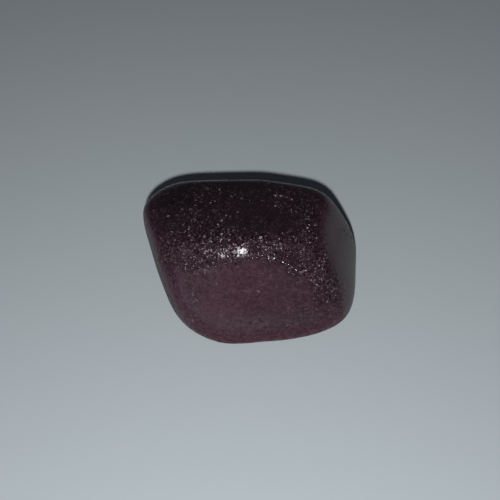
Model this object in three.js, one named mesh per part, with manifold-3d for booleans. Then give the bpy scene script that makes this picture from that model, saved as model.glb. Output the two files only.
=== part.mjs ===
// One tumbled stone of dark purple jade: a broken block whose faces stayed nearly flat while its edges and
// corners were worn round. Millimetres, +Z up. The origin is the middle of the footprint, on the plane that
// the stone rests on. +X runs along its length, towards the steep end, and the broad slope looks towards -Y.
import * as THREE from "three";
import { ImprovedNoise } from "three/addons/math/ImprovedNoise.js";
import { mergeVertices } from "three/addons/utils/BufferGeometryUtils.js";
import Module from "manifold-3d";

// Overall size of the stone.
const LENGTH = 30;
const WIDTH = 22;
const HEIGHT = 15;

// The faces of the block, seen from its heart. turn is the compass bearing that a face looks along, from +X
// towards +Y, and rise is how far it looks above the horizon, both in degrees. reach is its distance from the
// heart, before the stone is brought to its overall size.
const FACES = [
  { turn: 90, rise: 85, reach: 7.8 }, // crown
  { turn: -88, rise: 32, reach: 7.4 }, // broad slope
  { turn: -10, rise: 33, reach: 11.0 }, // steep end
  { turn: -160, rise: -4, reach: 13.4 }, // blunt end
  { turn: 83, rise: 15, reach: 12.6 }, // back
  { turn: 0, rise: -90, reach: 7.3 }, // underside
  { turn: 42, rise: 25, reach: 14.7 }, // back corner, steep end
  { turn: -40, rise: -20, reach: 15.1 }, // front corner, steep end
  { turn: 142, rise: 20, reach: 18.1 }, // back corner, blunt end
  { turn: -125, rise: -15, reach: 13.2 }, // front corner, blunt end
  { turn: -130, rise: 55, reach: 11.2 }, // upper corner, blunt end
  { turn: -3, rise: -5, reach: 14.8 }, // toe of the steep end
  { turn: 5, rise: -40, reach: 14.8 }, // undercut, steep end
  { turn: 180, rise: -40, reach: 14.4 }, // undercut, blunt end
  { turn: -80, rise: -30, reach: 12.2 }, // undercut, front
  { turn: 90, rise: -35, reach: 11.6 }, // undercut, back
];

// Every face is slightly domed: it is the cap of a ball of this radius.
const FACE_RADIUS = 90;

// How sharply two faces meet, per millimetre: the worn edge between them has a radius of a few times 1 / this.
const EDGE_SHARPNESS = 1.3;

// Low swells and hollows all over: how high they stand, how far apart they are, and where the noise that lays
// them out starts.
const SWELL = 0.25;
const SWELL_SPACING = 7.5;
const SWELL_START = new THREE.Vector3(3.1, 1.7, 5.3);

// How much of the domed underside is worn away, which leaves the flat that the stone rests on.
const UNDERSIDE_WEAR = 0.25;

// The mesh: an icosahedron whose edges are cut into this many parts, so 20 times its square triangles. Its
// points are found by halving a stretch so many times, and points closer than the last value are one.
const CUTS = 20;
const HALVINGS = 30;
const SAME_POINT = 1e-5;

const wasm = await Module();
wasm.setup();
const noise = new ImprovedNoise();

// The unit vector that looks along a bearing, so many degrees above the horizon.
function looking(turn, rise) {
  const zenithAngle = THREE.MathUtils.degToRad(90 - rise);
  const bearing = THREE.MathUtils.degToRad(turn);
  return new THREE.Vector3(
    Math.sin(zenithAngle) * Math.cos(bearing),
    Math.sin(zenithAngle) * Math.sin(bearing),
    Math.cos(zenithAngle),
  );
}

// The centre of the ball that each face is a cap of.
const centres = FACES.map(({ turn, rise, reach }) => looking(turn, rise).multiplyScalar(reach - FACE_RADIUS));

// How far a point is outside the worn block, in about millimetres: the smooth greatest of its heights over
// the faces, lowered where the surface swells.
function outside(point) {
  let sum = 0;
  for (const centre of centres) {
    sum += Math.exp(EDGE_SHARPNESS * (point.distanceTo(centre) - FACE_RADIUS));
  }
  const { x, y, z } = point.clone().divideScalar(SWELL_SPACING).add(SWELL_START);
  return Math.log(sum) / EDGE_SHARPNESS - SWELL * noise.noise(x, y, z);
}

// Where the ray from the heart along a direction leaves the stone.
function surfaceAlong(direction) {
  let inner = 0;
  let outer = LENGTH;
  for (let halving = 0; halving < HALVINGS; halving += 1) {
    const middle = (inner + outer) / 2;
    if (outside(direction.clone().multiplyScalar(middle)) > 0) outer = middle;
    else inner = middle;
  }
  return direction.clone().multiplyScalar(inner);
}

// The geometry with its shared vertices merged and nothing but positions left.
function closed(geometry) {
  geometry.deleteAttribute("normal");
  geometry.deleteAttribute("uv");
  return mergeVertices(geometry, SAME_POINT);
}

function solidOf(geometry) {
  const mesh = new wasm.Mesh({
    numProp: 3,
    vertProperties: geometry.getAttribute("position").array,
    triVerts: geometry.index.array,
  });
  return new wasm.Manifold(mesh);
}

function geometryOf(solid) {
  const { vertProperties, triVerts } = solid.getMesh();
  return new THREE.BufferGeometry()
    .setAttribute("position", new THREE.BufferAttribute(vertProperties, 3))
    .setIndex(new THREE.BufferAttribute(triVerts, 1));
}

// The worn block about its heart: a ball spread to the stone's proportions and moved onto the surface, so that
// its triangles are about the same size everywhere.
function wornBlock() {
  const block = closed(new THREE.IcosahedronGeometry(1, CUTS - 1));
  const places = block.getAttribute("position");
  const spread = new THREE.Vector3(LENGTH, WIDTH, HEIGHT);
  for (let i = 0; i < places.count; i += 1) {
    const direction = new THREE.Vector3().fromBufferAttribute(places, i).multiply(spread).normalize();
    const place = surfaceAlong(direction);
    places.setXYZ(i, place.x, place.y, place.z);
  }
  return block;
}

// The stone with the flat on its underside cut, at its overall size, standing on z = 0 about the origin.
function stoneGeometry() {
  const block = wornBlock();
  block.computeBoundingBox();
  const restingPlane = block.boundingBox.min.z + UNDERSIDE_WEAR;
  const below = closed(new THREE.BoxGeometry(2 * LENGTH, 2 * LENGTH, LENGTH));
  below.translate(0, 0, restingPlane - LENGTH / 2);
  const stone = geometryOf(solidOf(block).subtract(solidOf(below)));
  stone.computeBoundingBox();
  const size = stone.boundingBox.getSize(new THREE.Vector3());
  const middle = stone.boundingBox.getCenter(new THREE.Vector3());
  stone.translate(-middle.x, -middle.y, -stone.boundingBox.min.z);
  stone.scale(LENGTH / size.x, WIDTH / size.y, HEIGHT / size.z);
  return stone;
}

const jade = new THREE.MeshStandardMaterial({ name: "purple_jade", color: 0x3f2a33, roughness: 0.3, metalness: 0 });

const stone = new THREE.Mesh(stoneGeometry(), jade);
stone.name = "tumbled_stone";

const part = new THREE.Group();
part.add(stone);

export default part;
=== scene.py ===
"""A tumbled stone of dark purple jade, lying on a pale floor. Metres, +Z up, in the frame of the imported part.

The stone is one piece. Its mesh starts as a copy of the CAD solid, gets finer, and takes the relief that
tumbling left: low waves, shallow pits along the worn edges, crescent bruises, and a slightly flatter spot on
the ridge. The mesh also carries maps of the wear, which steer where the material is chipped, flecked,
streaked, dull or polished.
"""

import math

import bpy
import numpy as np
from mathutils import Euler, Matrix, Vector, kdtree, noise


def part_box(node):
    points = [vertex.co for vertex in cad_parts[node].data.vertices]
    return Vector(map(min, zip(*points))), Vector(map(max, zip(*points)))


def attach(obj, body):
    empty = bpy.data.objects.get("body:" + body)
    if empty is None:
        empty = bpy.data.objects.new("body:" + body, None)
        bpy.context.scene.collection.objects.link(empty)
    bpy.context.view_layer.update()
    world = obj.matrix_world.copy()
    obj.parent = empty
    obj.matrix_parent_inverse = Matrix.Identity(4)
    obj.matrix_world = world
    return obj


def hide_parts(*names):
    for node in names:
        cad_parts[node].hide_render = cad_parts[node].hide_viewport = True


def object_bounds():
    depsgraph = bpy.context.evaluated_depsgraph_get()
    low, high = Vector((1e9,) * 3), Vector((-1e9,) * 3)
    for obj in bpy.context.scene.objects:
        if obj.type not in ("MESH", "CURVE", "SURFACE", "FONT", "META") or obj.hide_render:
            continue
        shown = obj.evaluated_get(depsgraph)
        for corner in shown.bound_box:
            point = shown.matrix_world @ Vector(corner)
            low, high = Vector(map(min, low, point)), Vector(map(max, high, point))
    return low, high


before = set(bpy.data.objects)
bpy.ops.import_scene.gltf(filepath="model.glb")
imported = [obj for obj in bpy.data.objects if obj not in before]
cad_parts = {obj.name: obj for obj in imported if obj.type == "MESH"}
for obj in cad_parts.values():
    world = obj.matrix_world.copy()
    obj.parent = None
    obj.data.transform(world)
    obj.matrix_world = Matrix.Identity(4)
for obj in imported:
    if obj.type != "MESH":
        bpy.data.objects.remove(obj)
cad_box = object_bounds()

MM = 0.001
STONE = "tumbled_stone"
SLOT = "purple_jade"

# The camera looks down on the stone from the front. The aim is a little above the stone's middle, measured
# up the picture.
CAMERA_RISE = math.radians(50)
CAMERA_DISTANCE = 150 * MM
CAMERA_LENS = 78.0
CAMERA_CLIP = (1 * MM, 10)
AIM_UP = 0.65 * MM

# The flash is a small bright disc just below the lens and a little to its left.
FLASH_DISTANCE = 160 * MM
FLASH_ACROSS = -3.0 * MM
FLASH_UP = -12.4 * MM
FLASH_SIZE = 5 * MM
FLASH_POWER = 0.247


# ---------------------------------------------------------------- the view


def looking_down(rise):
    """The camera's turn when it looks along +Y and down by that angle."""
    return Euler((math.pi / 2 - rise, 0, 0))


def place_in_picture(target, across, up, distance):
    """The point so far in front of the target, moved across and up as the camera sees it."""
    turn = looking_down(CAMERA_RISE).to_matrix()
    return target + turn @ Vector((across, up, distance))


def make_camera(target):
    data = bpy.data.cameras.new("camera")
    data.lens = CAMERA_LENS
    data.clip_start, data.clip_end = CAMERA_CLIP
    camera = bpy.data.objects.new("camera", data)
    camera.location = place_in_picture(target, 0, AIM_UP, CAMERA_DISTANCE)
    camera.rotation_euler = looking_down(CAMERA_RISE)
    bpy.context.collection.objects.link(camera)
    bpy.context.scene.camera = camera


# ---------------------------------------------------------------- shading helpers


class Shading:
    """Builds the nodes of one material. What a method gives back is the socket with the result."""

    def __init__(self, name):
        self.material = bpy.data.materials.new(name)
        self.material.use_nodes = True
        self.nodes = self.material.node_tree.nodes
        self.links = self.material.node_tree.links
        self.shader = self.nodes["Principled BSDF"]

    def put(self, value, socket):
        """Links the socket to a node's result, or gives it a plain value."""
        if isinstance(value, bpy.types.NodeSocket):
            self.links.new(value, socket)
        else:
            socket.default_value = value

    def place(self):
        """Where a point is on the object, in its own frame."""
        return self.nodes.new("ShaderNodeTexCoord").outputs["Object"]

    def attribute(self, name):
        """The mesh's map of that name."""
        node = self.nodes.new("ShaderNodeAttribute")
        node.attribute_name = name
        return node.outputs["Fac"]

    def math(self, operation, *values):
        node = self.nodes.new("ShaderNodeMath")
        node.operation = operation
        for value, socket in zip(values, node.inputs):
            self.put(value, socket)
        return node.outputs["Value"]

    def times(self, first, *others):
        """The product of the values."""
        for other in others:
            first = self.math("MULTIPLY", first, other)
        return first

    def plus(self, first, second):
        return self.math("ADD", first, second)

    def vector(self, operation, *values):
        node = self.nodes.new("ShaderNodeVectorMath")
        node.operation = operation
        for value, socket in zip(values, node.inputs):
            self.put(value, socket)
        return node.outputs["Vector"]

    def centred(self, lot):
        """A colour made of three numbers from 0 to 1, as a vector around nought."""
        return self.vector("SUBTRACT", lot, (0.5, 0.5, 0.5))

    def length(self, place):
        node = self.nodes.new("ShaderNodeVectorMath")
        node.operation = "LENGTH"
        self.put(place, node.inputs[0])
        return node.outputs["Value"]

    def noise(self, place, size, detail=2.0, roughness=0.5, distortion=0.0, colour=False):
        """Clouds about so far apart, from 0 to 1."""
        node = self.nodes.new("ShaderNodeTexNoise")
        self.put(place, node.inputs["Vector"])
        node.inputs["Scale"].default_value = 1 / size
        node.inputs["Detail"].default_value = detail
        node.inputs["Roughness"].default_value = roughness
        node.inputs["Distortion"].default_value = distortion
        return node.outputs["Color" if colour else "Fac"]

    def cells(self, place, size):
        """Cells about so far apart: the distance to the nearest one's middle, and two random colours."""
        node = self.nodes.new("ShaderNodeTexVoronoi")
        self.put(place, node.inputs["Vector"])
        node.inputs["Scale"].default_value = 1 / size
        again = self.nodes.new("ShaderNodeTexWhiteNoise")
        self.put(node.outputs["Color"], again.inputs["Vector"])
        return node.outputs["Distance"], node.outputs["Color"], again.outputs["Color"]

    def parts(self, mixed):
        """The three parts of a colour."""
        node = self.nodes.new("ShaderNodeSeparateColor")
        self.put(mixed, node.inputs["Color"])
        return node.outputs["Red"], node.outputs["Green"], node.outputs["Blue"]

    def normal(self):
        """Which way the surface looks."""
        return self.nodes.new("ShaderNodeNewGeometry").outputs["Normal"]

    def scaled(self, place, by):
        node = self.nodes.new("ShaderNodeVectorMath")
        node.operation = "SCALE"
        self.put(place, node.inputs["Vector"])
        self.put(by, node.inputs["Scale"])
        return node.outputs["Vector"]

    def ramp(self, value, low, high, start=0.0, end=1.0):
        """A smooth rise from start, where the value is low, to end, where it is high."""
        node = self.nodes.new("ShaderNodeMapRange")
        node.interpolation_type = "SMOOTHSTEP"
        self.put(value, node.inputs["Value"])
        self.put(low, node.inputs["From Min"])
        self.put(high, node.inputs["From Max"])
        self.put(start, node.inputs["To Min"])
        self.put(end, node.inputs["To Max"])
        return node.outputs["Result"]

    def blend(self, share, first, second):
        """The first colour where share is 0, the second where it is 1."""
        node = self.nodes.new("ShaderNodeMix")
        node.data_type = "RGBA"
        self.put(share, node.inputs["Factor"])
        for value, socket in ((first, node.inputs[6]), (second, node.inputs[7])):
            self.put(value, socket)
        return node.outputs[2]

    def covered(self, ground, *layers):
        """The ground with layers blended over it in turn. A layer is the share that shows and its colour."""
        for share, tint in layers:
            ground = self.blend(share, ground, tint)
        return ground

    def number_blend(self, share, first, second):
        """The same for two numbers."""
        node = self.nodes.new("ShaderNodeMix")
        self.put(share, node.inputs["Factor"])
        for value, socket in ((first, node.inputs[2]), (second, node.inputs[3])):
            self.put(value, socket)
        return node.outputs[0]

    def vector_blend(self, share, first, second):
        """The same for two vectors."""
        node = self.nodes.new("ShaderNodeMix")
        node.data_type = "VECTOR"
        self.put(share, node.inputs["Factor"])
        for value, socket in ((first, node.inputs[4]), (second, node.inputs[5])):
            self.put(value, socket)
        return node.outputs[1]

    def bump(self, height, distance):
        """The normal, leaning as if the surface stood out by that height times the distance."""
        node = self.nodes.new("ShaderNodeBump")
        self.put(height, node.inputs["Height"])
        node.inputs["Distance"].default_value = distance
        node.inputs["Strength"].default_value = 1.0
        return node.outputs["Normal"]


def colour(red, green, blue):
    return (red, green, blue, 1.0)


# ---------------------------------------------------------------- the stage

FLOOR_HALF = 2.0
FLOOR_CORNERS = ((-1, -1), (1, -1), (1, 1), (-1, 1))
FLOOR_COLOUR = colour(0.452, 0.506, 0.531)
FLOOR_ROUGHNESS = 0.85
FLOOR_GLOSS = 0.2
# The floor's faint clouds: how far apart they are, and how bright against the rest.
FLOOR_CLOUDS = 6 * MM
CLOUD_BRIGHTNESS = 0.985
# Beyond the reach of the flash, the floor is kept pale by a faint glow of its own.
FAR_GLOW = 0.10
GLOW_FROM = 60 * MM
GLOW_TO = 220 * MM


def floor_material():
    shading = Shading("pale_floor")
    place = shading.place()
    cloudy = shading.noise(place, FLOOR_CLOUDS, detail=4.0)
    darker = colour(*(CLOUD_BRIGHTNESS * part for part in FLOOR_COLOUR[:3]))
    shading.put(shading.blend(cloudy, darker, FLOOR_COLOUR), shading.shader.inputs["Base Color"])
    far = shading.ramp(shading.length(place), GLOW_FROM, GLOW_TO, 0.0, FAR_GLOW)
    shading.put(far, shading.shader.inputs["Emission Strength"])
    shading.shader.inputs["Emission Color"].default_value = FLOOR_COLOUR
    shading.shader.inputs["Roughness"].default_value = FLOOR_ROUGHNESS
    shading.shader.inputs["Specular IOR Level"].default_value = FLOOR_GLOSS
    return shading.material


def make_floor(height):
    corners = [(x * FLOOR_HALF, y * FLOOR_HALF, height) for x, y in FLOOR_CORNERS]
    mesh = bpy.data.meshes.new("floor")
    mesh.from_pydata(corners, [], [(0, 1, 2, 3)])
    mesh.materials.append(floor_material())
    floor = bpy.data.objects.new("floor", mesh)
    bpy.context.collection.objects.link(floor)


def make_light(name, location, target, shape, width, height, power, tint=(1.0, 1.0, 1.0)):
    data = bpy.data.lights.new(name, "AREA")
    data.shape = shape
    data.size = width
    data.size_y = height
    data.energy = power
    data.color = tint
    light = bpy.data.objects.new(name, data)
    light.location = location
    light.rotation_euler = (target - location).to_track_quat("-Z", "Y").to_euler()
    light.visible_camera = False
    bpy.context.collection.objects.link(light)


def make_flash(target):
    location = place_in_picture(target, FLASH_ACROSS, AIM_UP + FLASH_UP, FLASH_DISTANCE)
    make_light("flash", location, target, "DISK", FLASH_SIZE, FLASH_SIZE, FLASH_POWER)


# The soft box, level with the stone and in front of it: its bearing from the stone, how far off it is, its
# width and height, how bright its face is, and its tint. Then the dim room around everything.
BOX_TURN = math.radians(-97)
BOX_DISTANCE = 0.6
BOX_WIDTH = 0.75
BOX_HEIGHT = 0.48
BOX_BRIGHTNESS = 0.40
BOX_TINT = (1.0, 0.78, 0.82)
ROOM = colour(0.029, 0.030, 0.036)


def make_front_box(target):
    location = target + Vector((math.cos(BOX_TURN), math.sin(BOX_TURN), 0)) * BOX_DISTANCE
    face = math.pi / 4 * BOX_WIDTH * BOX_HEIGHT
    power = BOX_BRIGHTNESS * math.pi * face
    make_light("front_box", location, target, "ELLIPSE", BOX_WIDTH, BOX_HEIGHT, power, BOX_TINT)


def make_room():
    world = bpy.data.worlds.new("room")
    world.use_nodes = True
    world.node_tree.nodes["Background"].inputs["Color"].default_value = ROOM
    bpy.context.scene.world = world


# ---------------------------------------------------------------- the stone's shape


class Skin:
    """A closed mesh of triangles as bare arrays: its points, and the three points of each face."""

    def __init__(self, points, faces):
        self.points = points
        self.faces = faces
        sides = np.concatenate([faces[:, [0, 1]], faces[:, [1, 2]], faces[:, [2, 0]]])
        self.edges, edge = np.unique(np.sort(sides, axis=1), axis=0, return_inverse=True)
        self.edge_of_side = edge.reshape(3, -1)
        self.neighbours = np.bincount(self.edges.ravel(), minlength=len(points))

    def sum_around(self, values):
        """The sum of the values at each point's neighbours."""
        first, second = self.edges.T
        total = np.zeros_like(values)
        np.add.at(total, first, values[second])
        np.add.at(total, second, values[first])
        return total

    def spread(self, values, rounds):
        """The values, evened out over the surface so many times."""
        for _ in range(rounds):
            values = (values + self.sum_around(values) / self.neighbours) / 2
        return values

    def normals(self):
        corners = self.points[self.faces]
        across = np.cross(corners[:, 1] - corners[:, 0], corners[:, 2] - corners[:, 0])
        total = np.zeros_like(self.points)
        for corner in range(3):
            np.add.at(total, self.faces[:, corner], across)
        return total / np.linalg.norm(total, axis=1, keepdims=True)

    def areas(self):
        """The share of the surface that belongs to each point."""
        corners = self.points[self.faces]
        across = np.cross(corners[:, 1] - corners[:, 0], corners[:, 2] - corners[:, 0])
        third = np.linalg.norm(across, axis=1) / 6
        return np.bincount(self.faces.ravel(), np.repeat(third, 3), len(self.points))

    def bend(self):
        """How much the surface bends at each point, per metre: 1 / radius on a ball."""
        first, second = self.edges.T
        step = self.points[second] - self.points[first]
        normals = self.normals()
        turn = np.einsum("ij,ij->i", normals[second] - normals[first], step)
        bend = turn / np.einsum("ij,ij->i", step, step)
        total = np.bincount(first, bend, len(self.points)) + np.bincount(second, bend, len(self.points))
        return total / self.neighbours

    def finer(self):
        """One round of Loop subdivision: each triangle becomes four, and the whole gets smoother."""
        points, faces, edges = self.points, self.faces, self.edges
        opposite = np.concatenate([faces[:, 2], faces[:, 0], faces[:, 1]])
        middles = (points[edges[:, 0]] + points[edges[:, 1]]) * 3 / 8
        np.add.at(middles, self.edge_of_side.ravel(), points[opposite] / 8)
        weight = np.where(self.neighbours == 3, 3 / 16, 3 / (8 * self.neighbours))[:, None]
        moved = (1 - weight * self.neighbours[:, None]) * points + weight * self.sum_around(points)
        a, b, c = faces.T
        ab, bc, ca = len(points) + self.edge_of_side
        parts = [(a, ab, ca), (ab, b, bc), (ca, bc, c), (ab, bc, ca)]
        quarters = np.concatenate([np.stack(part, axis=1) for part in parts])
        return Skin(np.concatenate([moved, middles]), quarters)


def cad_skin():
    """The CAD solid, with the points that its faces share made one."""
    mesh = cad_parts[STONE].data
    mesh.calc_loop_triangles()
    places = np.array([vertex.co for vertex in mesh.vertices])
    faces = np.array([triangle.vertices for triangle in mesh.loop_triangles])
    points, same = np.unique(np.round(places / MM, 3), axis=0, return_inverse=True)
    faces = same.reshape(-1)[faces]
    whole = (faces[:, 0] != faces[:, 1]) & (faces[:, 1] != faces[:, 2]) & (faces[:, 2] != faces[:, 0])
    return Skin(points * MM, faces[whole])


def smooth_step(values, low, high):
    share = np.clip((values - low) / (high - low), 0, 1)
    return share * share * (3 - 2 * share)


def clouds(points, size, start):
    """Smooth noise from about -1 to 1, with clouds so far apart."""
    shift = Vector(start)
    return np.array([noise.noise(Vector(point / size) + shift) for point in points])


# How many rounds make the mesh finer, and the seed of all random draws.
SUBDIVISIONS = 2
SEED = 11
# Wear rises where the surface bends between these two, per metre. It is evened out in so many rounds.
WEAR_BEND = (15, 150)
WEAR_EVENING = 30
# Low waves, higher along the worn edges: their height on the faces, their height there, their spacing, and
# where their noise starts.
WAVE_FACE = 0.006 * MM
WAVE_EDGE = 0.03 * MM
WAVE_SPACING = 2.4 * MM
WAVE_START = (4.2, 0.7, 9.1)
# Pits: how many, their radius from and to, how deep the strongest are against their radius, how strong they
# are from and to, how densely they lie on the faces against the worn edges, how sharply they gather there,
# and how high above the floor they begin.
PITS = 2600
PIT_RADIUS = (0.14 * MM, 0.36 * MM)
PIT_DEPTH = 0.14
PIT_STRENGTH = (0.3, 1.0)
PITS_ON_FACES = 0.01
PIT_GATHERING = 1.5
PITS_FROM = 1 * MM
# Crescent bruises: how many, the radius of the arc from and to, its width, the depth of the strongest, half
# its opening, how strong they are from and to, how densely they lie on the faces against the worn edges, and
# how high above the floor they begin.
BRUISES = 60
BRUISE_RADIUS = (0.45 * MM, 0.95 * MM)
BRUISE_WIDTH = 0.13 * MM
BRUISE_DEPTH = 0.03 * MM
BRUISE_HALF = math.radians(48)
BRUISE_STRENGTH = (0.4, 1.0)
BRUISES_ON_FACES = 0.25
BRUISES_FROM = 3 * MM
# Two spots on the ridge that kept some polish: their middles and radii in millimetres, and how much they
# kept. Then the share of the chips that full polish keeps off, and the reach and strength of the flattening:
# the first spot is a little flatter than the ridge around it.
POLISHED = [((-1.2, -4.9, 14.3), 0.95, 0.85), ((-2.7, -5.1, 14.05), 1.90, 0.55)]
POLISH_KEEPS_OFF = 0.9
FLATTENED_RADIUS = 1.15 * MM
FLATTENING = 0.8
# Where the stone was chipped most: the middle line of each band or patch and how far it reaches to both
# sides, in millimetres, and how badly.
CHIPPED = [
    ([(-10.6, -3.4, 13.0), (-8.8, -4.2, 13.5)], 1.7, 0.55),
    ([(-8.6, -4.3, 13.5), (-6.8, -4.7, 13.7), (-4.5, -4.6, 14.1)], 1.9, 0.75),
    ([(-11.2, -4.2, 12.2), (-9.4, -5.4, 12.0), (-7.6, -5.8, 12.3)], 1.4, 0.55),
    ([(-4.5, -4.6, 14.1), (-1.2, -4.5, 14.4)], 1.5, 0.70),
    ([(-1.2, -4.7, 14.3), (2.5, -4.6, 14.2), (5.4, -4.7, 13.7)], 1.7, 0.92),
    ([(5.4, -4.7, 13.7), (7.7, -5.7, 12.3), (8.9, -6.3, 11.0), (10.1, -7.0, 9.4)], 1.9, 0.90),
    ([(10.1, -7.0, 9.4), (11.3, -7.7, 7.6)], 1.4, 0.75),
    ([(-8.3, -5.6, 12.3), (-4.6, -6.0, 12.8), (-2.7, -5.7, 13.3)], 1.2, 0.52),
    ([(8.0, -0.2, 14.3), (8.1, -2.0, 14.2)], 0.9, 0.95),
    ([(8.3, -3.0, 13.9), (9.6, -4.6, 12.3)], 1.8, 0.65),
    ([(4.1, -3.2, 14.8), (5.4, -2.6, 14.7)], 0.9, 0.50),
    ([(-3.0, -3.2, 14.8), (3.0, -3.2, 14.9)], 1.0, 0.35),
    ([(-7.2, -2.0, 14.4), (-3.1, -3.0, 14.9)], 2.1, 0.42),
    ([(-7.6, 0.4, 14.4)], 2.6, 0.40),
    ([(-8.0, -7.5, 9.6), (-6.0, -8.0, 9.6)], 1.4, 0.35),
    ([(-8.2, -7.1, 10.1), (-7.7, -8.2, 7.9), (-7.0, -9.6, 5.3), (-5.5, -10.4, 3.6)], 0.8, 0.10),
    ([(4.5, -8.0, 9.3), (8.3, -8.3, 7.7)], 2.2, 0.06),
    ([(-6.2, 5.4, 13.9), (-3.4, 3.9, 14.3)], 2.4, 0.35),
    ([(4.4, 4.5, 14.2), (6.8, 2.6, 14.3)], 2.1, 0.40),
    ([(-4.5, -10.5, 4.2), (3.0, -10.6, 3.6), (10.3, -9.2, 5.2)], 1.8, 0.10),
    ([(3.0, 10.5, 6.0)], 3.5, 0.50),
    ([(-10.5, 6.5, 7.0)], 3.0, 0.60),
    ([(12.0, 5.5, 5.5)], 3.0, 0.50),
]
# Where pale flecks broke out, in the same way; their paleness also paints glints. The last number is the share
# of them that shows.
FLECKED = [
    ([(-9.0, 2.2, 14.0), (-5.8, 2.2, 14.4)], 3.6, 0.30),
    ([(-6.8, 5.6, 13.9), (-4.0, 4.6, 14.2)], 1.8, 0.35),
    ([(5.2, 4.4, 14.2), (8.2, 3.6, 14.0)], 2.2, 0.50),
    ([(-8.0, -2.4, 14.3), (-3.0, -2.8, 14.8)], 1.7, 0.20),
    ([(-8.0, -4.4, 13.6), (5.4, -4.7, 13.7)], 1.5, 0.20),
    ([(8.1, -1.0, 14.3), (7.7, -2.0, 14.4)], 0.8, 0.90),
    ([(-6.3, -7.0, 10.5), (-5.0, -7.4, 10.0)], 0.8, 0.90),
    ([(-8.2, -7.1, 10.1), (-7.7, -8.2, 7.9), (-7.0, -9.6, 5.3), (-5.5, -10.4, 3.6)], 0.7, 0.45),
]
# How chipped the worn edges are elsewhere, and how chipped and flecked the faces are.
EDGE_CHIPPING = 0.03
FACE_CHIPPING = 0.0008
FACE_FLECKS = 0.030
# The polish gets poorer where the surface looks so far towards either end, to the front or down, from the
# first number of each pair to the second. How poor it gets at each end, on the front, and on the edges in
# front.
DULL_ENDS = (0.45, 0.85)
DULL_FRONT = (-0.30, 0.30)
DULL_UNDER = (-0.30, 0.20)
BLUNT_END_DULLNESS = 0.6
STEEP_END_DULLNESS = 0.52
FRONT_DULLNESS = 0.17
EDGE_DULLNESS = 0.55
# Where the back, the left and the right of the stone begin, and where each is full.
BACK_PART = (-2 * MM, 6 * MM)
LEFT_PART = (-1 * MM, 9 * MM)
RIGHT_PART = (0, 6 * MM)
# The browner middle of the slope.
BROWN_MIDDLE = (0.5 * MM, -8.0 * MM, 10.5 * MM)
BROWN_REACH = 6 * MM
# How raggedly the bands end: how strong each kind of raggedness is, how far apart it is, and where its noise
# starts.
RAGGED = ((0.35, 1.3 * MM, (2.3, 5.1, 1.7)), (0.30, 0.5 * MM, (7.9, 0.6, 3.4)))


def worn_edges(skin):
    """0 on the broad faces, 1 along the edges that tumbling wore."""
    return smooth_step(skin.spread(skin.bend(), WEAR_EVENING), *WEAR_BEND)


def distance_to_line(points, line):
    """How far the points are from a line through the given places."""
    if len(line) == 1:
        return np.linalg.norm(points - line[0], axis=1)
    nearest = np.full(len(points), np.inf)
    for start, end in zip(np.array(line[:-1]), np.array(line[1:])):
        step = end - start
        along = np.clip((points - start) @ step / (step @ step), 0, 1)
        away = np.linalg.norm(points - start - along[:, None] * step, axis=1)
        nearest = np.minimum(nearest, away)
    return nearest


def in_patches(points, patches, base, ragged):
    """The base share, raised in the patches, which fade raggedly towards their ends."""
    share = base
    for line, reach, strength in patches:
        away = distance_to_line(points / MM, line) / reach * ragged
        share = share + (1 - share) * strength * np.exp(-(away**2))
    return share


def polished(skin):
    """How much polish the surface kept among the chips: most in the middle of each spot."""
    polish = np.zeros(len(skin.points))
    for middle, radius, most in POLISHED:
        away = np.linalg.norm(skin.points / MM - middle, axis=1) / radius
        polish = np.maximum(polish, most * np.exp(-away**2))
    return polish


def flattened(skin, normals):
    """How far the surface stands out where the polished spot is flatter than the ridge around it."""
    away = np.linalg.norm(skin.points - np.array(POLISHED[0][0]) * MM, axis=1)
    middle = np.argmin(away)
    below = (skin.points[middle] - skin.points) @ normals[middle]
    return FLATTENING * below * np.exp(-((away / FLATTENED_RADIUS) ** 2))


def pitted(skin, tree, wear, random):
    """How deep the pits are, and how frosted, at each point."""
    depth = np.zeros(len(skin.points))
    frost = np.zeros(len(skin.points))
    chance = skin.areas() * (PITS_ON_FACES + wear**PIT_GATHERING) * (skin.points[:, 2] > PITS_FROM)
    middles = random.choice(len(skin.points), PITS, replace=False, p=chance / chance.sum())
    radii = random.uniform(*PIT_RADIUS, PITS)
    strengths = random.uniform(*PIT_STRENGTH, PITS)
    for middle, radius, strength in zip(middles, radii, strengths):
        for _, index, distance in tree.find_range(skin.points[middle], radius):
            hollow = (1 - (distance / radius) ** 2) ** 2
            depth[index] = max(depth[index], radius * PIT_DEPTH * strength * hollow)
            frost[index] = max(frost[index], strength * hollow)
    return depth, frost


def bruised(skin, tree, normals, wear, random):
    """The same for the crescent bruises: arcs where the stone was struck."""
    depth = np.zeros(len(skin.points))
    frost = np.zeros(len(skin.points))
    chance = skin.areas() * (BRUISES_ON_FACES + wear) * (skin.points[:, 2] > BRUISES_FROM)
    middles = random.choice(len(skin.points), BRUISES, replace=False, p=chance / chance.sum())
    for middle in middles:
        radius = random.uniform(*BRUISE_RADIUS)
        strength = random.uniform(*BRUISE_STRENGTH)
        normal = Vector(normals[middle])
        towards = normal.orthogonal().normalized()
        angle = random.uniform(0, math.tau)
        towards = towards * math.cos(angle) + normal.cross(towards) * math.sin(angle)
        centre = Vector(skin.points[middle])
        for place, index, _ in tree.find_range(centre, radius + 2 * BRUISE_WIDTH):
            arm = place - centre
            arm -= normal * arm.dot(normal)
            off = (arm.length - radius) / BRUISE_WIDTH
            opening = arm.angle(towards, math.pi) / BRUISE_HALF
            mark = math.exp(-off * off) * max(0.0, 1 - opening**4)
            depth[index] = max(depth[index], BRUISE_DEPTH * strength * mark)
            frost[index] = max(frost[index], strength * mark)
    return depth, frost


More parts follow.
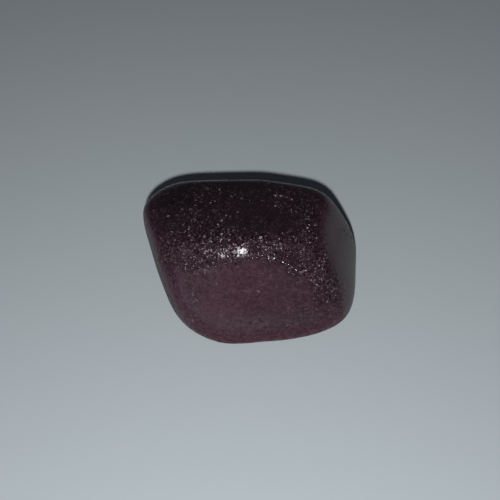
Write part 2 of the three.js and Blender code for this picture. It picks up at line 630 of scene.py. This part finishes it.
def dull(normals, wear):
    """How poor the polish is: a little on the front, more at both ends, and most towards the underside."""
    blunt = BLUNT_END_DULLNESS * smooth_step(-normals[:, 0], *DULL_ENDS)
    steep = STEEP_END_DULLNESS * smooth_step(normals[:, 0], *DULL_ENDS)
    under = smooth_step(-normals[:, 2], *DULL_UNDER)
    on_front = FRONT_DULLNESS + (EDGE_DULLNESS - FRONT_DULLNESS) * wear
    front = smooth_step(-normals[:, 1], *DULL_FRONT) * on_front
    return np.maximum.reduce([blunt, steep, under, front])


def relief(skin, normals, wear, polish, random):
    """How far each point stands out, and how frosted its pits and bruises are."""
    tree = kdtree.KDTree(len(skin.points))
    for index, point in enumerate(skin.points):
        tree.insert(point, index)
    tree.balance()
    pit_depth, pit_frost = pitted(skin, tree, wear, random)
    bruise_depth, bruise_frost = bruised(skin, tree, normals, wear, random)
    waves = clouds(skin.points, WAVE_SPACING, WAVE_START)
    height = (WAVE_FACE + (WAVE_EDGE - WAVE_FACE) * wear) * waves
    height += flattened(skin, normals) - np.maximum(pit_depth, bruise_depth) * (1 - polish)
    return height, np.maximum(pit_frost, bruise_frost)


def wear_maps(skin, normals, wear, polish, frost):
    """What the material reads at each point: the wear, which way the surface looks, and which part it is."""
    ragged = 1 + sum(strength * clouds(skin.points, spacing, start) for strength, spacing, start in RAGGED)
    chipping = FACE_CHIPPING + EDGE_CHIPPING * wear
    from_brown = np.linalg.norm(skin.points - BROWN_MIDDLE, axis=1)
    return {
        "chips": in_patches(skin.points, CHIPPED, chipping, ragged) * (1 - POLISH_KEEPS_OFF * polish),
        "flecked": in_patches(skin.points, FLECKED, FACE_FLECKS, ragged),
        "frost": frost,
        "rise": normals[:, 2],
        "endwards": normals[:, 0],
        "frontwards": -normals[:, 1],
        "back": smooth_step(skin.points[:, 1], *BACK_PART),
        "left": smooth_step(-skin.points[:, 0], *LEFT_PART),
        "right": smooth_step(skin.points[:, 0], *RIGHT_PART),
        "brown": np.exp(-((from_brown / BROWN_REACH) ** 2)),
        "polish": polish,
        "dull": dull(normals, wear),
    }


def stone_mesh():
    skin = cad_skin()
    for _ in range(SUBDIVISIONS):
        skin = skin.finer()
    normals = skin.normals()
    wear = worn_edges(skin)
    polish = polished(skin)
    height, frost = relief(skin, normals, wear, polish, np.random.default_rng(SEED))
    low, high = cad_box
    points = np.clip(skin.points + height[:, None] * normals, low, high)

    mesh = bpy.data.meshes.new("jade_stone")
    mesh.from_pydata(points.tolist(), [], skin.faces.tolist())
    mesh.shade_smooth()
    for name, values in wear_maps(skin, normals, wear, polish, frost).items():
        mesh.attributes.new(name, "FLOAT", "POINT").data.foreach_set("value", values.astype(np.float32))
    return mesh


# ---------------------------------------------------------------- the jade

# The body's colours: the crown in front and at the back, the shade off the slope and towards the steep end,
# the ground among the chips high and low, its own colour with painted shade of the crevices, the slope's
# left side and foot, its plum face and brown middle, the steep end, paler and greyer with painted reflection
# of the pale floor, and the blunt end. Then the dark mottles, the painted shade in the hollows around flecks,
# the dark and the pale streaks, the light mottles, the flecks, which also paint glints, and the threads.
CROWN_COLOUR = colour(0.0172, 0.0088, 0.0130)
BACK_COLOUR = colour(0.0150, 0.0092, 0.0120)
SHADE_COLOUR = colour(0.0180, 0.0070, 0.0110)
GROUND_AND_SHADE_COLOUR = colour(0.0235, 0.0050, 0.0130)
DEEP_GROUND_AND_SHADE_COLOUR = colour(0.0185, 0.0008, 0.0080)
SIDE_COLOUR = colour(0.0240, 0.0030, 0.0185)
LOW_COLOUR = colour(0.0370, 0.0, 0.0085)
PLUM_COLOUR = colour(0.0440, 0.0215, 0.0300)
BROWN_COLOUR = colour(0.0330, 0.0125, 0.0200)
END_REFLECTION_COLOUR = colour(0.0545, 0.0350, 0.0400)
BLUNT_COLOUR = colour(0.0450, 0.0150, 0.0265)
DARK_COLOUR = colour(0.0050, 0.0018, 0.0028)
HOLLOW_SHADE_COLOUR = colour(0.0130, 0.0008, 0.0050)
STREAK_COLOUR = colour(0.0160, 0.0005, 0.0065)
SHEEN_COLOUR = colour(0.0720, 0.0270, 0.0450)
PALE_COLOUR = colour(0.0600, 0.0400, 0.0500)
FLECK_AND_GLINT_COLOUR = colour(0.36, 0.26, 0.30)
THREAD_COLOUR = colour(0.115, 0.060, 0.085)
# The stone's index of refraction.
REFRACTION = 1.5
# Where each colour lies, here and below: the first two numbers are where it begins and where it is full, and
# the next two, where they are given, are the shares that show there. A name that ends in RISE is read
# against how far the surface looks up, and one that ends in CHIPS against how badly it is chipped. FRONT is
# read against how far the surface looks to the front, and END, SIDE, BLUNT and SHADE_END against how far it
# looks towards the steep end. BROWN is read against how near the browner middle is, and SHADE_RIGHT is the
# share of the shade on the right.
CROWN_RISE = (0.90, 0.99)
END = (0.60, 0.90)
SIDE = (-0.05, -0.40)
SIDE_RISE = (0.90, 0.50)
BLUNT = (-0.50, -0.90)
BLUNT_RISE = (0.80, 0.35)
LOW_RISE = (0.45, 0.18)
FRONT = (0.48, 0.75)
BROWN = (0.3, 0.8)
SHADE_END = (0.0, 0.25, 0.0, 0.85)
SHADE_RIGHT = 0.8
GROUND_RISE = (0.92, 0.60)
GROUND_CHIPS = (0.0, 0.8, 0.0, 0.85)
# Broad clouds shift where the colours begin: how far apart they are, how much they shift it, and the share
# of that which shifts it up and down.
DRIFT = 5 * MM
DRIFT_REACH = 0.5
DRIFT_UP = 0.15
# The left of the crown is darker at the back and more plum in front, by these shares.
LEFT_DARKER = 0.45
LEFT_PLUM = 0.15
# Mottles, coarse and fine: how far apart they are, and the noise where the dark ones and the light ones
# begin and are full. Then how much of the dark ones shows off the crown, and among the chips.
MOTTLE = 1.6 * MM
FINE_MOTTLE = 0.3 * MM
DARK_MOTTLES = (0.55, 0.3, 0.0, 0.5)
FINE_DARK_MOTTLES = (0.5, 0.28, 0.0, 0.7)
LIGHT_MOTTLES = (0.54, 0.78, 0.0, 0.5)
OFF_CROWN_MOTTLING = 0.20
MOTTLE_CHIPS = (0.1, 0.7, 0.0, 0.55)
# How rough the surface between the chips is: where it is polished, at its dullest, in the spots on the
# ridge, on dark streaks, in pits and bruises, and where it is scuffed, which is among the chips on the left
# of the slope. Then how frosted a pit is where that begins and is full, and the same for what is scuffed.
ROUGHNESS = 0.14
DULL_ROUGHNESS = 0.62
SPOT_ROUGHNESS = 0.30
STREAK_ROUGHNESS = 0.34
PIT_ROUGHNESS = 0.36
SCUFF_ROUGHNESS = 0.42
PIT_FROST = (0.0, 0.3)
SCUFF_CHIPS = (0.12, 0.40)
SCUFF_RISE = (0.90, 0.70)
# The share of the flecks' colour in a fully frosted pit or bruise.
FROST_PALENESS = 0.05
# A faint unevenness of the whole surface, and a grain among the chips, with how far it leans the surface.
RIPPLE = 0.45 * MM
RIPPLE_HEIGHT = 0.010 * MM
GRAIN = 0.26 * MM
GRAIN_CHIPS = (0.1, 0.9, 0.0, 1.8)
# The small faces that the chips left, of two kinds: how far apart they are, the share that shows where the
# stone is chipped most, and how far the usual one and the most tilted one lean. The higher CHIP_LEANING is,
# the fewer lean more than the usual one.
CHIP_KINDS = ((0.21 * MM, 1.0, 1.9, 2.8), (0.30 * MM, 0.20, 2.3, 3.0))
CHIP_LEANING = 4.0
# How rough those faces are, from and to. To that comes the greater of the fringe's share, where the chips
# thin out, and the slope's, with more on its left. The fringe's is read against the chips, the others
# against the rise.
CHIP_ROUGHNESS = (0.34, 0.58)
FRINGE_ROUGHNESS = (0.0, 0.9, 0.28, 0.0)
SLOPE_ROUGHNESS = (0.92, 0.80, 0.0, 0.06)
LEFT_SLOPE_ROUGHNESS = (0.97, 0.85, 0.0, 0.10)
# The patches that the chips gather in: how far apart they are, and how much they differ.
PATCH = 1.1 * MM
PATCHINESS = 3.6
# The outlines of chips and flecks wander: how far apart the bends are, and how far they reach.
WOBBLE = 0.3 * MM
WOBBLE_REACH = 0.2 * MM
# Pale flecks, broken grains whose paleness also paints glints: how far apart they are, how far the smallest
# reaches in parts of that, and how much further the largest does. The powers make large ones and strong ones
# rare. Then how strong they are.
FLECK = 0.55 * MM
SMALLEST_FLECK = 0.14
FLECK_REACH = 0.30
FLECK_SIZES = 2.0
FLECK_STRENGTHS = 1.8
FLECK_CHIPS = (0.0, 0.2, 0.7, 1.0)
FLECK_RISE = (0.75, 0.97, 0.35, 1.0)
# The patches that flecks gather in, with how few and how many show there, and their jagged outlines.
FLECK_PATCH = 1.5 * MM
FLECK_GATHERING = (0.40, 0.60, 0.2, 1.8)
FLECK_JAG = 0.14 * MM
FLECK_JAGGEDNESS = 0.7
# The painted shade in the hollow around a fleck: how much wider it is, and how much of it shows among the
# chips.
HOLLOW_SHADE_WIDTH = 0.2
HOLLOW_SHADE_CHIPS = (0.05, 0.3, 0.0, 0.7)
# Streaks on the slope: how far apart they are, how they are drawn out along the stone, and the noise where
# the dark and the pale ones begin and are full. Then where they show: most towards the steep end or low
# down, and only below the crown.
STREAK = 0.40 * MM
STREAK_STRETCH = (0.80, 1.0, 1.0)
DARK_STREAKS = (0.49, 0.41, 0.0, 0.75)
PALE_STREAKS = (0.51, 0.58, 0.0, 0.60)
STREAK_RIGHT = (-0.10, 0.10, 0.75, 1.0)
STREAK_LOW = (0.50, 0.25)
STREAK_BELOW = (0.95, 0.80)
# Pale threads: how far apart they are, how wide, and how much of their colour shows at most. Then the
# patches that they lie in: how far apart those are, and the noise where they begin and are full.
THREAD = 2.6 * MM
THREAD_WIDTH = 0.014
THREAD_SHARE = 0.35
THREAD_PATCH = 1.2 * MM
THREAD_GATHERING = (0.52, 0.62)


def threads(shading, place):
    """Fine pale lines that wind over the surface here and there."""
    winding = shading.noise(place, THREAD, detail=3.0, roughness=0.55)
    off = shading.math("ABSOLUTE", shading.math("SUBTRACT", winding, 0.5))
    line = shading.ramp(off, 0.0, THREAD_WIDTH, THREAD_SHARE, 0.0)
    return shading.times(line, shading.ramp(shading.noise(place, THREAD_PATCH), *THREAD_GATHERING))


def streaks(shading, place):
    """How much of the dark and of the pale streaks shows at each place."""
    along = shading.vector("MULTIPLY", place, STREAK_STRETCH)
    streak = shading.noise(along, STREAK, detail=4.0, roughness=0.70, distortion=1.0)
    right = shading.ramp(shading.attribute("endwards"), *STREAK_RIGHT)
    low = shading.ramp(shading.attribute("rise"), *STREAK_LOW)
    below = shading.ramp(shading.attribute("rise"), *STREAK_BELOW)
    share = shading.times(shading.math("MAXIMUM", right, low), below)
    dark = shading.times(shading.ramp(streak, *DARK_STREAKS), share)
    pale = shading.times(shading.ramp(streak, *PALE_STREAKS), share)
    return dark, pale


def slope_colour(shading, drift, slight, rise, endwards, dark_streaks, pale_streaks):
    """Plum, browner in the middle, darker towards the steep end and more purple towards the blunt one."""
    front = shading.ramp(shading.plus(shading.attribute("frontwards"), drift), *FRONT)
    brown = shading.ramp(shading.plus(shading.attribute("brown"), drift), *BROWN)
    right = shading.plus(shading.times(shading.attribute("right"), SHADE_RIGHT), slight)
    shade = shading.math("MAXIMUM", shading.ramp(endwards, *SHADE_END), right)
    side = shading.times(shading.ramp(endwards, *SIDE), shading.ramp(rise, *SIDE_RISE))
    blunt = shading.times(shading.ramp(endwards, *BLUNT), shading.ramp(rise, *BLUNT_RISE))
    return shading.covered(
        shading.blend(front, SHADE_COLOUR, shading.blend(brown, PLUM_COLOUR, BROWN_COLOUR)),
        (shade, SHADE_COLOUR),
        (side, SIDE_COLOUR),
        (blunt, BLUNT_COLOUR),
        (shading.ramp(rise, *LOW_RISE), LOW_COLOUR),
        (dark_streaks, STREAK_COLOUR),
        (pale_streaks, SHEEN_COLOUR),
    )


def mottles(shading, place, chips, crown):
    """How much of the dark and of the light mottles shows: most on the crown."""
    cloudy = shading.noise(place, MOTTLE, detail=4.0, roughness=0.6)
    fine = shading.noise(place, FINE_MOTTLE, detail=3.0, roughness=0.6)
    contrast = shading.math("MULTIPLY_ADD", crown, 1.0 - OFF_CROWN_MOTTLING, OFF_CROWN_MOTTLING)
    contrast = shading.math("MAXIMUM", contrast, shading.ramp(chips, *MOTTLE_CHIPS))
    dark = shading.math(
        "MAXIMUM",
        shading.ramp(cloudy, *DARK_MOTTLES),
        shading.ramp(fine, *FINE_DARK_MOTTLES),
    )
    return shading.times(dark, contrast), shading.times(shading.ramp(fine, *LIGHT_MOTTLES), crown)


def body_colour(shading, place, chips, dark_streaks, pale_streaks):
    """The slope's colours, dark on the crown and among the chips (painted crevice shade), greyer at the steep
    end (painted reflection).
    """
    broad = shading.noise(place, DRIFT, detail=3.0)
    drift = shading.times(shading.math("SUBTRACT", broad, 0.5), DRIFT_REACH)
    slight = shading.times(drift, DRIFT_UP)
    rise = shading.plus(shading.attribute("rise"), slight)
    endwards = shading.plus(shading.attribute("endwards"), drift)
    crown = shading.ramp(rise, *CROWN_RISE)
    back = shading.ramp(shading.plus(shading.attribute("back"), drift), 0.0, 1.0)
    on_left = shading.times(crown, shading.attribute("left"))
    # The ground among the chips: its own darker colour with painted shade of the crevices.
    ground = shading.blend(shading.ramp(rise, *GROUND_RISE), GROUND_AND_SHADE_COLOUR, DEEP_GROUND_AND_SHADE_COLOUR)
    dark, light = mottles(shading, place, chips, crown)
    return shading.covered(
        slope_colour(shading, drift, slight, rise, endwards, dark_streaks, pale_streaks),
        (crown, shading.blend(back, CROWN_COLOUR, BACK_COLOUR)),
        # Paler and greyer at the steep end: painted reflection of the pale floor.
        (shading.ramp(endwards, *END), END_REFLECTION_COLOUR),
        (shading.times(on_left, back, LEFT_DARKER), DARK_COLOUR),
        (shading.times(on_left, shading.math("SUBTRACT", 1.0, back), LEFT_PLUM), PLUM_COLOUR),
        (shading.ramp(chips, *GROUND_CHIPS), ground),
        (dark, DARK_COLOUR),
        (light, PALE_COLOUR),
        (threads(shading, place), THREAD_COLOUR),
    )


def flecks(shading, moved, chips):
    """How pale a fleck is, a broken grain that also paints a glint, and how much painted shade lies around it.
    """
    distance, lot, _ = shading.cells(moved, FLECK)
    chance, size, strength = shading.parts(lot)
    gathered = shading.ramp(shading.noise(moved, FLECK_PATCH), *FLECK_GATHERING)
    chosen = shading.math("GREATER_THAN", shading.times(shading.attribute("flecked"), gathered), chance)
    jagged = shading.math("SUBTRACT", shading.noise(moved, FLECK_JAG, detail=1.0), 0.5)
    distance = shading.plus(distance, shading.times(jagged, FLECK_JAGGEDNESS))
    size = shading.math("POWER", size, FLECK_SIZES)
    reach = shading.math("MULTIPLY_ADD", size, FLECK_REACH, SMALLEST_FLECK)
    inside = shading.math("GREATER_THAN", reach, distance)
    # The ring around a fleck that gets painted shade.
    hollow = shading.math("GREATER_THAN", shading.plus(reach, HOLLOW_SHADE_WIDTH), distance)
    strength = shading.times(
        shading.math("POWER", strength, FLECK_STRENGTHS),
        shading.ramp(chips, *FLECK_CHIPS),
        shading.ramp(shading.attribute("rise"), *FLECK_RISE),
    )
    broken = shading.ramp(chips, *HOLLOW_SHADE_CHIPS)
    return shading.times(chosen, inside, strength), shading.times(chosen, hollow, broken)


def chip_faces(shading, moved, chips, spacing, share, usual, most):
    """Which places lie on a chip's small face, how it leans and how rough it is."""
    _, lot, other_lot = shading.cells(moved, spacing)
    chance, lean, dull_lot = shading.parts(other_lot)
    chosen = shading.math("GREATER_THAN", shading.times(chips, share), chance)
    lean = shading.ramp(shading.math("POWER", lean, CHIP_LEANING), 0.0, 1.0, usual, most)
    lean = shading.scaled(shading.centred(lot), lean)
    rise = shading.attribute("rise")
    left = shading.times(shading.ramp(rise, *LEFT_SLOPE_ROUGHNESS), shading.attribute("left"))
    slope = shading.plus(shading.ramp(rise, *SLOPE_ROUGHNESS), left)
    worn = shading.math("MAXIMUM", shading.ramp(chips, *FRINGE_ROUGHNESS), slope)
    return chosen, lean, shading.plus(shading.ramp(dull_lot, 0.0, 1.0, *CHIP_ROUGHNESS), worn)


def whole_roughness(shading, chips, dark_streaks):
    """How rough the surface is where no chip's face lies."""
    scuffed = shading.times(
        shading.attribute("left"),
        shading.ramp(chips, *SCUFF_CHIPS),
        shading.ramp(shading.attribute("rise"), *SCUFF_RISE),
    )
    rough = shading.ramp(shading.attribute("dull"), 0.0, 1.0, ROUGHNESS, DULL_ROUGHNESS)
    for share, own_rough in (
        (dark_streaks, STREAK_ROUGHNESS),
        (shading.ramp(shading.attribute("frost"), *PIT_FROST), PIT_ROUGHNESS),
        (scuffed, SCUFF_ROUGHNESS),
        (shading.attribute("polish"), SPOT_ROUGHNESS),
    ):
        rough = shading.number_blend(share, rough, own_rough)
    return rough


def surface_finish(shading, place, moved, chips, dark_streaks):
    """The normal and the roughness: a polished surface, faintly rippled and broken by chips and grain."""
    lean = (0.0, 0.0, 0.0)
    rough = whole_roughness(shading, chips, dark_streaks)
    for spacing, share, usual, most in CHIP_KINDS:
        chosen, own_lean, own_rough = chip_faces(shading, moved, chips, spacing, share, usual, most)
        lean = shading.vector_blend(chosen, lean, own_lean)
        rough = shading.number_blend(chosen, rough, own_rough)
    grain = shading.centred(shading.noise(place, GRAIN, detail=1.0, colour=True))
    grain = shading.scaled(grain, shading.ramp(chips, *GRAIN_CHIPS))
    ripple = shading.bump(shading.noise(place, RIPPLE, detail=1.0), RIPPLE_HEIGHT)
    lean = shading.vector("ADD", lean, grain)
    lean = shading.vector("SUBTRACT", lean, shading.vector("PROJECT", lean, shading.normal()))
    return shading.vector("NORMALIZE", shading.vector("ADD", ripple, lean)), rough


def patchy(shading, place, chips):
    """The chips gathered in patches, except where the surface is whole and where it is chipped all over."""
    patches = shading.noise(place, PATCH, detail=3.0, roughness=0.6)
    patches = shading.times(shading.math("SUBTRACT", patches, 0.5), PATCHINESS)
    room = shading.times(chips, shading.math("SUBTRACT", 1.0, chips))
    return shading.plus(chips, shading.times(patches, room))


def jade_material():
    shading = Shading(SLOT)
    place = shading.place()
    chips = patchy(shading, place, shading.attribute("chips"))
    wobble = shading.centred(shading.noise(place, WOBBLE, colour=True))
    moved = shading.vector("ADD", place, shading.scaled(wobble, WOBBLE_REACH))

    fleck_and_glint, hollow = flecks(shading, moved, chips)
    frost = shading.times(shading.attribute("frost"), FROST_PALENESS)
    pale = shading.math("MAXIMUM", fleck_and_glint, frost)
    # Painted shade in the hollows around flecks: darkest on the crown.
    hollow_shade = shading.blend(shading.ramp(shading.attribute("rise"), *CROWN_RISE), HOLLOW_SHADE_COLOUR, DARK_COLOUR)
    dark_streaks, pale_streaks = streaks(shading, place)
    body = body_colour(shading, place, chips, dark_streaks, pale_streaks)
    normal, rough = surface_finish(shading, place, moved, chips, dark_streaks)

    shader = shading.shader
    # Over the body: painted shade in the hollows around flecks, then pale flecks and frosted pits; the flecks
    # also paint glints.
    shading.put(shading.covered(body, (hollow, hollow_shade), (pale, FLECK_AND_GLINT_COLOUR)), shader.inputs["Base Color"])
    shading.put(rough, shader.inputs["Roughness"])
    shading.put(normal, shader.inputs["Normal"])
    shader.inputs["IOR"].default_value = REFRACTION
    return shading.material


def make_stone():
    mesh = stone_mesh()
    mesh.materials.append(jade_material())
    stone = bpy.data.objects.new("jade_stone", mesh)
    bpy.context.collection.objects.link(stone)
    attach(stone, "root")
    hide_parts(STONE)


low_corner, high_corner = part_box(STONE)
middle = (low_corner + high_corner) / 2
bpy.context.scene.view_settings.view_transform = "Standard"
make_camera(middle)
make_room()
make_floor(low_corner.z)
make_flash(middle)
make_front_box(middle)
make_stone()
